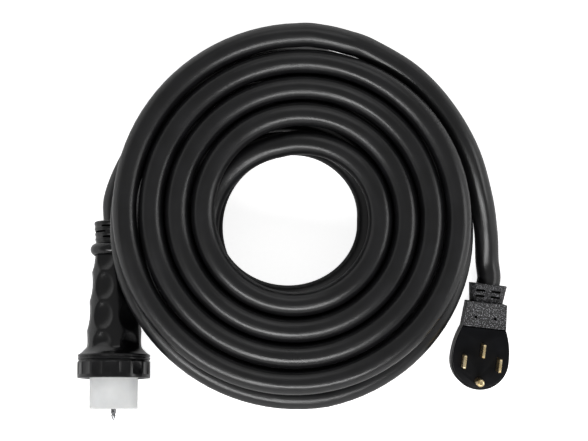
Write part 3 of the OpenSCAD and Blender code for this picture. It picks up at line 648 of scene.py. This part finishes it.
grey_nylon = plain_moulding("grey_moulded_nylon", "#a3a5a8", "#b1b3b6", 0.8, 0.03, 0.45, 0.6)
washer_rubber = plain_moulding("washer_rubber", "#373739", "#424244", 0.5, 0.03, 0.7, 0.85)
wire_black = plain_moulding("black_conductor_pvc", "#131313", "#1b1b1b", 1.2, 0.02, 0.35, 0.45)
wire_red = plain_moulding("red_conductor_pvc", "#ab231c", "#bd2c22", 1.2, 0.02, 0.35, 0.45)
wire_white = plain_moulding("white_conductor_pvc", "#e2e2de", "#eeeeea", 1.2, 0.02, 0.35, 0.45)
wire_green = plain_moulding("green_conductor_pvc", "#1b7236", "#237f40", 1.2, 0.02, 0.35, 0.45)
print("inner materials ready")

# %% [markdown]
# ## Give every node its finish
# A node without a piece of its own below keeps its CAD shape, and takes the finish that its entry in the
# record names. The finishes could be given one by one. A table from the record's slots to the materials
# above does it in one loop and can't miss a node.

# %% Give every CAD node its finish
finish_of_slot = {
    "jacket": jacket_pvc, "soft_moulding": soft_rubber, "hard_black": glossy_nylon,
    "plug_black": shell_plastic, "plug_face_black": face_plastic, "nose_white": frosted_nylon,
    "brass": brass, "plated_pin": plated_pin, "steel": zinc_steel,
    "gasket": washer_rubber, "grey_plastic": grey_nylon, "wire_black": wire_black,
    "wire_red": wire_red, "wire_white": wire_white, "wire_green": wire_green,
}
slot_of_node = {part["node"]: part["material_slot"] for part in frame["record"]["subparts"]}
for name, slot in slot_of_node.items():
    mesh = frame["nodes"][name].data
    mesh.materials.clear()
    mesh.materials.append(finish_of_slot[slot])
print("finished", len(slot_of_node), "nodes")

# %% [markdown]
# ## How the pieces are shaped
# Most of the connector is round, so it is turned: an outline is drawn point by point and spun about the
# axis. The nose, the centre pin and the plug start from copies of their solids. An operator acts on all
# that is selected, so each step begins by selecting nothing, or one piece alone.


# %% Helpers for shapes
def deselect():
    """Leaves edit mode and selects nothing."""
    if bpy.context.object and bpy.context.object.mode != "OBJECT":
        bpy.ops.object.mode_set(mode="OBJECT")
    bpy.ops.object.select_all(action="DESELECT")


def pick(piece):
    """Selects one piece alone."""
    deselect()
    piece.select_set(True)
    bpy.context.view_layer.objects.active = piece


deselect()
print("nothing is selected")

# %% [markdown]
# ### Outlines with rounded corners
# An edge that catches a thin line of light is what makes a moulded part look real. A bevel could round
# the turned piece afterwards, but it is simpler to round the corners of the outline first, each by its
# own size. Every corner becomes a short curve.


# %% Outlines with rounded corners
def rounded(corners, steps=4):
    """An outline whose corners (x, y, rounding) are replaced by small arcs, in millimetres."""
    line = []
    for i, (x, y, size) in enumerate(corners):
        here = Vector((x, y))
        if size == 0:
            line.append(here)
            continue
        back = Vector(corners[i - 1][:2]) - here
        on = Vector(corners[(i + 1) % len(corners)][:2]) - here
        reach = min(size, back.length * 0.45, on.length * 0.45)
        a, b = here + back.normalized() * reach, here + on.normalized() * reach
        for k in range(steps + 1):
            t = k / steps
            line.append(a * (1 - t) ** 2 + here * 2 * t * (1 - t) + b * t * t)
    return line


print("a rounded corner has", len(rounded([(0, 0, 0), (9, 0, 1), (9, 9, 0)])) - 2, "points")

# %% [markdown]
# ### The lathe
# A lathe is the right tool for a round part, and the spin operator is Blender's. A plane is merged to one
# point, the outline is extruded from it point by point, its two ends are joined, and it is spun a full
# turn. Doubles are merged before the normals are set, because a seam would leave them pointing both ways.


# %% The lathe
def turned(name, outline, steps):
    """Spins a closed outline of (radius, height) points about the Z axis."""
    deselect()
    bpy.ops.mesh.primitive_plane_add(size=MM, location=(0, 0, 0))
    piece = bpy.context.object
    piece.name = name
    bpy.ops.object.mode_set(mode="EDIT")
    bpy.ops.mesh.merge(type="CENTER")
    start = outline[0]
    bpy.ops.transform.translate(value=(start[0] * MM, 0, start[1] * MM))
    for a, b in zip(outline, outline[1:]):
        bpy.ops.mesh.extrude_vertices_move(
            TRANSFORM_OT_translate={"value": ((b[0] - a[0]) * MM, 0, (b[1] - a[1]) * MM)})
    shape = bmesh.from_edit_mesh(piece.data)
    for vert in shape.verts:
        vert.select = len(vert.link_edges) < 2
    shape.select_flush_mode()
    bpy.ops.mesh.edge_face_add()
    bpy.ops.mesh.select_all(action="SELECT")
    bpy.ops.mesh.spin(steps=steps, angle=math.tau, center=(0, 0, 0), axis=(0, 0, 1))
    bpy.ops.mesh.select_all(action="SELECT")
    bpy.ops.mesh.remove_doubles(threshold=MM / 1000)
    bpy.ops.mesh.normals_make_consistent(inside=False)
    bpy.ops.object.mode_set(mode="OBJECT")
    return piece


print("lathe ready")

# %% [markdown]
# ### Place, cut, round and finish
# Every piece goes through the same steps. It is put in its place, and the place is applied to its mesh,
# so that patterns on object coordinates stay still. Slots and recesses are cut by other shapes, as a
# milling cutter would. A bevel rounds sharp edges, and the last step gives the piece its finish and its
# body.

# %% Place, cut, round and finish
smooth_below = 32  # degrees between two faces


def put(piece, matrix):
    """Places the piece and leaves its object at the origin, with the place in its mesh."""
    pick(piece)
    piece.matrix_world = matrix @ piece.matrix_world
    bpy.ops.object.transform_apply(location=True, rotation=True, scale=True)


def cut_away(piece, cutters):
    """Takes the cutters' shapes out of the piece and deletes them."""
    for cutter in cutters:
        pick(piece)
        modifier = piece.modifiers.new("cut", "BOOLEAN")
        modifier.object = cutter
        modifier.solver = "EXACT"
        bpy.ops.object.modifier_apply(modifier="cut")
        bpy.data.objects.remove(cutter)


def round_edges(piece, width_mm, segments=2, angle=35):
    """Rounds the piece's sharp edges with a bevel, which is applied."""
    pick(piece)
    modifier = piece.modifiers.new("edges", "BEVEL")
    modifier.width = width_mm * MM
    modifier.segments = segments
    modifier.limit_method = "ANGLE"
    modifier.angle_limit = math.radians(angle)
    bpy.ops.object.modifier_apply(modifier="edges")


def finish_piece(piece, material, body, slot, *nodes):
    """Smooths the piece, gives it its material and puts it in its node's place on a body."""
    pick(piece)
    bpy.ops.object.shade_smooth_by_angle(angle=math.radians(smooth_below))
    if not piece.data.materials:
        piece.data.materials.append(material)
    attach(piece, body)
    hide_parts(*nodes)
    print(piece.name, len(piece.data.polygons), "faces")


connector_turn = Matrix.Rotation(math.pi / 2 - connector_tilt, 4, "X")
connector_matrix = Matrix.Translation(connector_end * MM) @ connector_turn
plug_matrix = Matrix.Translation(plug_place * MM) @ Matrix.Rotation(plug_turn, 4, "Z")
print("connector and plug stand at", connector_matrix.translation[:], plug_matrix.translation[:])

# %% [markdown]
# ## Finish the cord
# The cord was swept before any material existed. It now gets its jacket, rides on the body that holds
# everything but the ring, and takes the place of the three plain stretches of solid cord.

# %% Finish the cord
finish_piece(cord, jacket_pvc, "cordset", "jacket", "cord_coil", "cord_to_connector", "cord_to_plug")

# %% [markdown]
# ## Grip
# The connector's grip is a fat rubber cone with six columns of finger scoops, and a flare in front that
# keeps the hand off the ring. It could be carved from a block, but everything except the scoops is round,
# so it is turned first, with enough points along it to hold the scoops.

# %% Turn the grip
grip_s, grip_len, flare_len = 33.2, 86.0, 10.0
grip_back_r, grip_front_r = 21.0, 27.5
hollow_back_r, hollow_front_r, recess_r = 16.6, 22.1, 25.1
flare_r = 34.5
grip_end = grip_len + flare_len


def crest_r(t):
    """Radius of the grip's crests at t millimetres from its back."""
    return grip_back_r + (grip_front_r - grip_back_r) * t / grip_len


fine_steps = 110
along_grip = [grip_len * k / fine_steps for k in range(fine_steps + 1)]
back_edge = [Vector((grip_back_r - 0.8, 0)), Vector((grip_back_r - 0.2, 0.15))]
crests = [Vector((crest_r(t), t)) for t in along_grip[1:]]
flare = rounded([
    (grip_front_r, grip_len, 0), (grip_front_r + 0.6, grip_len + 4, 3),
    (grip_front_r + 3.2, grip_len + 7.5, 2), (flare_r, grip_end, 1), (flare_r, grip_end, 0),
])[1:]
hollow = [
    Vector((recess_r, grip_end)), Vector((recess_r, grip_len + 6)),
    Vector((hollow_front_r, grip_len)), Vector((hollow_back_r, 0)),
]
grip_outline = back_edge + crests + flare + hollow
grip = turned("grip", grip_outline, steps=144)
print("grip turned:", len(grip.data.vertices), "points")

# %% [markdown]
# ### Press in the scoops
# Cutting the scoops with spheres would leave sharp edges that rubber never has. Each scoop is pressed in
# as if by a large ball instead: a point that lies inside a ball moves in to its surface, and near the
# edge the two surfaces are blended, which gives the soft crests. The last row fades out towards the
# flare, which stays whole.

# %% Press in the scoops
scoop_depth, scoop_ball_r, scoop_pitch = 4.0, 26.0, 28.6
scoop_rows, scoop_columns, first_column = 4, 6, 50
scoops = []
for row in range(scoop_rows):
    for k in range(scoop_columns):
        a = math.radians(first_column + 360 / scoop_columns * k)
        reach = crest_r(row * scoop_pitch) + scoop_ball_r - scoop_depth
        scoops.append(Vector((reach * math.cos(a), reach * math.sin(a), row * scoop_pitch)))
edge_softness = 1.4
scoops_fade_at, flare_whole_at = 82.0, 93.0
skin, back_margin, front_margin = 1.5, 0.1, 0.5
deepest_r = 5
for vert in grip.data.vertices:
    x, y, z = (c / MM for c in vert.co)
    r = math.hypot(x, y)
    if r < crest_r(z) - skin or z < back_margin or z > grip_end - front_margin:
        continue
    best = r
    for ball in scoops:
        if abs(ball.z - z) > scoop_ball_r:
            continue
        angle = math.atan2(y, x) - math.atan2(ball.y, ball.x)
        far = math.hypot(ball.x, ball.y)
        side = scoop_ball_r ** 2 - (ball.z - z) ** 2 - (far * math.sin(angle)) ** 2
        if side > 0:
            reached = far * math.cos(angle) - math.sqrt(side)
            if reached > deepest_r:
                mix = min(1, max(0, 0.5 + (best - reached) / (2 * edge_softness)))
                best = best * (1 - mix) + reached * mix - edge_softness * mix * (1 - mix)
    fade = min(1, max(0, (flare_whole_at - z) / (flare_whole_at - scoops_fade_at)))
    best = r + fade * fade * (3 - 2 * fade) * (best - r)
    vert.co.x *= best / r
    vert.co.y *= best / r
put(grip, connector_matrix @ Matrix.Translation((0, 0, grip_s * MM)))
finish_piece(grip, soft_rubber, "cordset", "soft_moulding", "connector_grip")

# %% [markdown]
# ## Collar
# A rounded bead joins the strain relief to the grip. A torus would be round inside as well, and the
# collar has a straight bore. So half a circle is spun with a straight line behind it.

# %% Collar
collar_s, collar_len, collar_r, bead_r = 21.2, 12.0, 23.8, 6.0
collar_bore_r, end_gap = 16.7, 0.05
bead = []
for degrees in range(-88, 89, 8):
    a = math.radians(degrees)
    bead.append(Vector((collar_r - bead_r + bead_r * math.cos(a), collar_len / 2 + bead_r * math.sin(a))))
bore = [Vector((collar_bore_r, collar_len - end_gap))]
collar = turned("collar", [Vector((collar_bore_r, end_gap))] + bead + bore, steps=120)
put(collar, connector_matrix @ Matrix.Translation((0, 0, collar_s * MM)))
finish_piece(collar, soft_rubber, "cordset", "soft_moulding", "connector_collar")

# %% [markdown]
# ## Strain relief of the connector
# A strain relief is slotted so that it bends with the cord and spreads the bend. Between its rows of
# slots the rubber bulges a little. A plain cone would look machined, so the outline follows a small wave,
# and the tube is turned with that bulge already in it.

# %% Slotted strain relief
relief_len, relief_back_r, relief_taper = 21.2, 20.15, 1.4
cord_bore_r, back_edge_r, back_edge_len = 11.6, 19.3, 0.6
spigot_r, spigot_end = 16.5, 35.2
bulge, bulge_pitch, bulge_start = 0.28, 5.3, 4.24
bulge_steps = 40
bulged = []
for k in range(bulge_steps + 1):
    t = k / bulge_steps
    wave = bulge * math.cos(2 * math.pi * (t * relief_len - bulge_start) / bulge_pitch)
    height = back_edge_len + (relief_len - back_edge_len) * t
    bulged.append(Vector((relief_back_r - relief_taper * t - wave, height)))
relief_outline = [
    Vector((cord_bore_r, 0)), Vector((back_edge_r, 0)), *bulged,
    Vector((spigot_r, relief_len)), Vector((spigot_r, spigot_end)), Vector((cord_bore_r, spigot_end)),
]
relief = turned("connector_relief", relief_outline, steps=120)
print("relief turned:", len(relief.data.vertices), "points")

# %% [markdown]
# ### Its slots
# Three rows of slots go round it, each row turned against the last. Dark stripes in the material would
# look painted on from the side, so the slots are real: thin blocks with rounded edges cut them. The faces
# that a cut leaves are found by their distance from the axis, and take the painted shade of the grooves.

# %% Slots of the connector's strain relief
slot_rows, slots_per_row = 3, 3
slot_depth, slot_length, slot_width, slot_middle_r = 6, 25, 1.9, 18.6
first_slot, slot_step, row_turn = 0.24, 0.25, 60
wall_from_r, skin_thick = 12.2, 0.9
slots = []
for row in range(slot_rows):
    for k in range(slots_per_row):
        deselect()
        bpy.ops.mesh.primitive_cube_add(size=1, location=(0, 0, 0))
        block = bpy.context.object
        block.scale = (slot_depth * MM, slot_length * MM, slot_width * MM)
        bpy.ops.object.transform_apply(location=False, rotation=False, scale=True)
        round_edges(block, 0.5, 2)
        way = math.radians(90 + 360 / slots_per_row * k + row_turn * row)
        slot_place = Vector((slot_middle_r, 0, relief_len * (first_slot + slot_step * row)))
        put(block, Matrix.Rotation(way, 4, "Z") @ Matrix.Translation(slot_place * MM))
        slots.append(block)
cut_away(relief, slots)
relief.data.materials.clear()
relief.data.materials.append(soft_rubber)
relief.data.materials.append(groove_painted_shade)
# The slot walls, under the skin, take the painted shade of the grooves
for face in relief.data.polygons:
    t = face.center.z / MM / relief_len
    r = math.hypot(face.center.x, face.center.y) / MM
    under_skin = wall_from_r < r < relief_back_r - relief_taper * t - skin_thick
    face.material_index = 1 if under_skin and 0.02 < t < 0.98 else 0
put(relief, connector_matrix)
finish_piece(relief, soft_rubber, "cordset", "soft_moulding", "connector_strain_relief")

# %% [markdown]
# ## Rim
# A ring of hard plastic sits on the front of the grip, and the locking ring turns against it. A thin
# groove runs round its edge. Bevelling a tube would round all its edges alike. In a turned outline each
# corner is rounded by its own few tenths of a millimetre, which draws the fine bright lines.

# %% Rim
rim_s = grip_s + grip_end
rim_bore_r, rim_r, groove_r, rim_len = 24.3, 35.2, 34.3, 5
rim_outline = rounded([
    (rim_bore_r, 0, 0.2), (rim_r, 0, 0.7), (rim_r, 1.9, 0.25), (groove_r, 2.1, 0.25), (groove_r, 2.8, 0.25),
    (rim_r, 3.0, 0.25), (rim_r, rim_len, 0.6), (rim_bore_r, rim_len, 0.3),
], steps=3)
rim = turned("grip_rim_ring", rim_outline, steps=128)
put(rim, connector_matrix @ Matrix.Translation((0, 0, rim_s * MM)))
finish_piece(rim, glossy_nylon, "cordset", "hard_black", "grip_rim")

# %% [markdown]
# ## Locking ring
# The ring screws onto the inlet and holds the connector there. Its bore is threaded. A true thread is a
# helix, but three plain grooves look much the same and spin cleanly. A shallow neck beside the rim leaves
# the dark line between the two.

# %% Locking ring
ring_s, ring_len, ring_r, bore_r = 134.6, 17.5, 35.4, 31.0
hub_bore_r, lip_len = 24.6, 3
thread_start, thread_pitch, thread_depth = 7.5, 2.4, 0.5
neck_depth = 1.2
ring_neck_r = ring_r - neck_depth
ring_outline = [
    (hub_bore_r, 0, 0.3), (ring_neck_r, 0, 0.2), (ring_neck_r, 1.0, 0.1), (ring_r, 1.4, 0.4),
    (ring_r, ring_len, 1.1), (bore_r, ring_len, 0.7),
]
for thread in (2, 1, 0):
    z = thread_start + thread_pitch * thread
    ring_outline += [
        (bore_r, z + thread_pitch / 2, 0.1),
        (bore_r + thread_depth, z + thread_pitch / 4, 0.15),
        (bore_r, z, 0.1),
    ]
ring_outline += [(bore_r, lip_len, 0.2), (hub_bore_r, lip_len, 0.3)]
ring = turned("threaded_ring", rounded(ring_outline, steps=3), steps=160)
print("ring turned:", len(ring.data.vertices), "points")

# %% [markdown]
# ### Its finger recesses
# Sixteen flat recesses let the fingers turn the ring. Ribs could be added to a thinner ring instead, but
# a cut leaves each floor flat, so each one catches the light in its own way. Sixteen blocks with rounded
# edges make the cuts.

# %% Finger recesses of the ring
recess_count, recess_depth, recess_len, recess_middle, rib_w = 16, 0.9, 12, 8, 2.6
recess_w = 2 * math.pi * ring_r / recess_count - rib_w
block_t = 3
cuts = []
for k in range(recess_count):
    deselect()
    bpy.ops.mesh.primitive_cube_add(size=1, location=(0, 0, 0))
    block = bpy.context.object
    block.scale = (block_t * MM, recess_w * MM, recess_len * MM)
    bpy.ops.object.transform_apply(location=False, rotation=False, scale=True)
    round_edges(block, 0.45, 2)
    recess_place = Vector((ring_r - recess_depth + block_t / 2, 0, recess_middle))
    put(block, Matrix.Rotation(math.radians(90 + 360 / recess_count * k), 4, "Z")
        @ Matrix.Translation(recess_place * MM))
    cuts.append(block)
cut_away(ring, cuts)
put(ring, connector_matrix @ Matrix.Translation((0, 0, ring_s * MM)))
finish_piece(ring, glossy_nylon, "ring", "hard_black", "locking_ring")

# %% [markdown]
# ## Pieces with softened edges
# The nose, its pin, the plug's shell and face, its strain relief and the blades already have their real
# shape in the solids, so modelling them again would only add errors. Each gets a copy of its solid's
# mesh. The copy's loose triangles are merged and its flat faces are joined, and then a bevel rounds the
# edges.


# %% Copy a solid and soften its edges
def softened(node, name, width_mm, segments=2, angle=30):
    """A copy of a node's mesh with merged points, flat faces joined and edges rounded."""
    copy = frame["nodes"][node].copy()
    copy.data = copy.data.copy()
    copy.name = name
    for key in list(copy.keys()):  # the marks of a CAD node
        del copy[key]
    copy.parent = None
    bpy.context.scene.collection.objects.link(copy)
    pick(copy)
    bpy.ops.object.mode_set(mode="EDIT")
    bpy.ops.mesh.select_all(action="SELECT")
    bpy.ops.mesh.remove_doubles(threshold=MM / 500)
    bpy.ops.mesh.dissolve_limited(angle_limit=math.radians(1))
    bpy.ops.object.mode_set(mode="OBJECT")
    round_edges(copy, width_mm, segments, angle)
    return copy


print("edges can be softened")

# %% [markdown]
# ### Nose and centre pin
# The nose has a moulded rounding of half a millimetre. The pin ends in a small flat, so its bevel is much
# narrower: a wider one would meet itself at the tip.

# %% Nose and centre pin
nose_piece = softened("nose", "frosted_nose", 0.5, 3)
finish_piece(nose_piece, frosted_nylon, "cordset", "nose_white", "nose")
pin_piece = softened("centre_pin", "spear_pin", 0.04, 2)
finish_piece(pin_piece, plated_pin, "cordset", "plated_pin", "centre_pin")

# %% [markdown]
# ### Face plate and blades
# The blades are stamped and tumbled, which rounds their tips, and the face plate has a fine moulded edge.
# They differ only in how wide that rounding is and in their finish, so a table lists both and one loop
# makes all five.

# %% Face plate and blades
for node, name, width, material, slot in (
        ("plug_face", "plug_face_plate", 0.6, face_plastic, "plug_face_black"),
        ("blade_hot_x", "hot_blade_x", 0.9, brass, "brass"),
        ("blade_hot_y", "hot_blade_y", 0.9, brass, "brass"),
        ("blade_neutral", "neutral_blade", 0.9, brass, "brass"),
        ("ground_pin", "ground_blade", 0.5, brass, "brass")):
    piece = softened(node, name, width, 3)
    finish_piece(piece, material, "cordset", slot, node)

# %% [markdown]
# ### The plug's shell, grained on its shoulder
# The shell is one moulding with two skins: pitted on its shoulder and satin elsewhere, with a seam
# between them and two blind vent holes. A mask could blend the two finishes, but on the real plug the
# change is sharp, so each face takes one finish by its place. The seam and the holes are cut after the
# bevel, so that it can't fill them, and their walls take the painted shade of the grooves.

# %% The plug's shell, grained on its shoulder
seam_y, shoulder_end_y, plug_top = 29.5, 54.5, 34.0
seam_cut_w, seam_cut_t, seam_cut_h = 60, 1.6, 6
vent_r, vent_x, vent_y, vent_cut_h = 1.5, 9.5, 40, 6
hole_margin = 0.35
seam_from, seam_to, seam_deep = seam_y - 0.1, seam_y + 1.1, plug_top - 3
to_plug = plug_matrix.inverted()
shell = softened("plug_cover", "plug_shell", 0.7, 3)
deselect()
bpy.ops.mesh.primitive_cube_add(size=1, location=(0, 0, 0))
seam_cutter = bpy.context.object
seam_cutter.scale = (seam_cut_w * MM, seam_cut_t * MM, seam_cut_h * MM)
put(seam_cutter, plug_matrix @ Matrix.Translation(Vector((0, seam_y + 0.2, plug_top + 1.6)) * MM))
vents = []
for side in (-1, 1):
    deselect()
    bpy.ops.mesh.primitive_cylinder_add(
        vertices=24, radius=vent_r * MM, depth=vent_cut_h * MM, location=(0, 0, 0))
    vents.append(bpy.context.object)
    put(vents[-1], plug_matrix @ Matrix.Translation(Vector((side * vent_x, vent_y, plug_top + 0.6)) * MM))
cut_away(shell, [seam_cutter] + vents)
shell.data.materials.clear()
for finish in (shell_plastic, eroded_plastic, groove_painted_shade):
    shell.data.materials.append(finish)
# The walls of the vent holes and the seam take the painted shade of the grooves
for face in shell.data.polygons:
    x, y, z = (c / MM for c in to_plug @ face.center)
    in_hole = math.hypot(abs(x) - vent_x, y - vent_y) < vent_r + hole_margin
    on_seam = seam_from < y < seam_to and z > seam_deep
    face.material_index = 2 if in_hole or on_seam else 1 if y > seam_y else 0
finish_piece(shell, shell_plastic, "cordset", "plug_black", "plug_cover")

# %% [markdown]
# ### The plug's strain relief
# Its slots are already in the solid. Seen from above their walls get a painted shade, black, and the skin
# beside them is grained, but the piece is a rounded rectangle, so a distance from its axis can't tell them
# apart. The distance to the rounded rectangle itself can: faces that lie under the skin are in a slot.

# %% The plug's strain relief, with painted shade in its slots
plug_relief_len, cord_height, corner_r = 18, 17, 8
flat_half_w, flat_half_w_gain = 7.85, 2.3
flat_half_h, flat_half_h_gain = 5.25, 0.75
skin_deep, slots_from, slots_to = 0.4, 0.05, 0.95
plug_relief = softened("plug_strain_relief", "plug_relief", 0.6)
plug_relief.data.materials.clear()
for finish in (grained_rubber, groove_painted_shade):
    plug_relief.data.materials.append(finish)
# Faces under the skin are the slot walls, and take the painted shade of the grooves
for face in plug_relief.data.polygons:
    x, y, z = (c / MM for c in to_plug @ face.center)
    t = (y - shoulder_end_y) / plug_relief_len
    past_x = abs(x) - (flat_half_w + flat_half_w_gain * t)
    past_z = abs(z - cord_height) - (flat_half_h + flat_half_h_gain * t)
    outwards = math.hypot(max(past_x, 0), max(past_z, 0)) + min(max(past_x, past_z), 0) - corner_r
    face.material_index = 1 if outwards < -skin_deep and slots_from < t < slots_to else 0
finish_piece(plug_relief, grained_rubber, "cordset", "soft_moulding", "plug_strain_relief")

# %% [markdown]
# The whole cord is one mesh, eleven metres long. It could be three, as in the solids, but a cord is
# bought and coiled in one length. The plug sits on its far end, and the plug's pieces ride on the same
# body as the cord.

print("declared", round(distance[-1] * MM, 2), "m of cord")
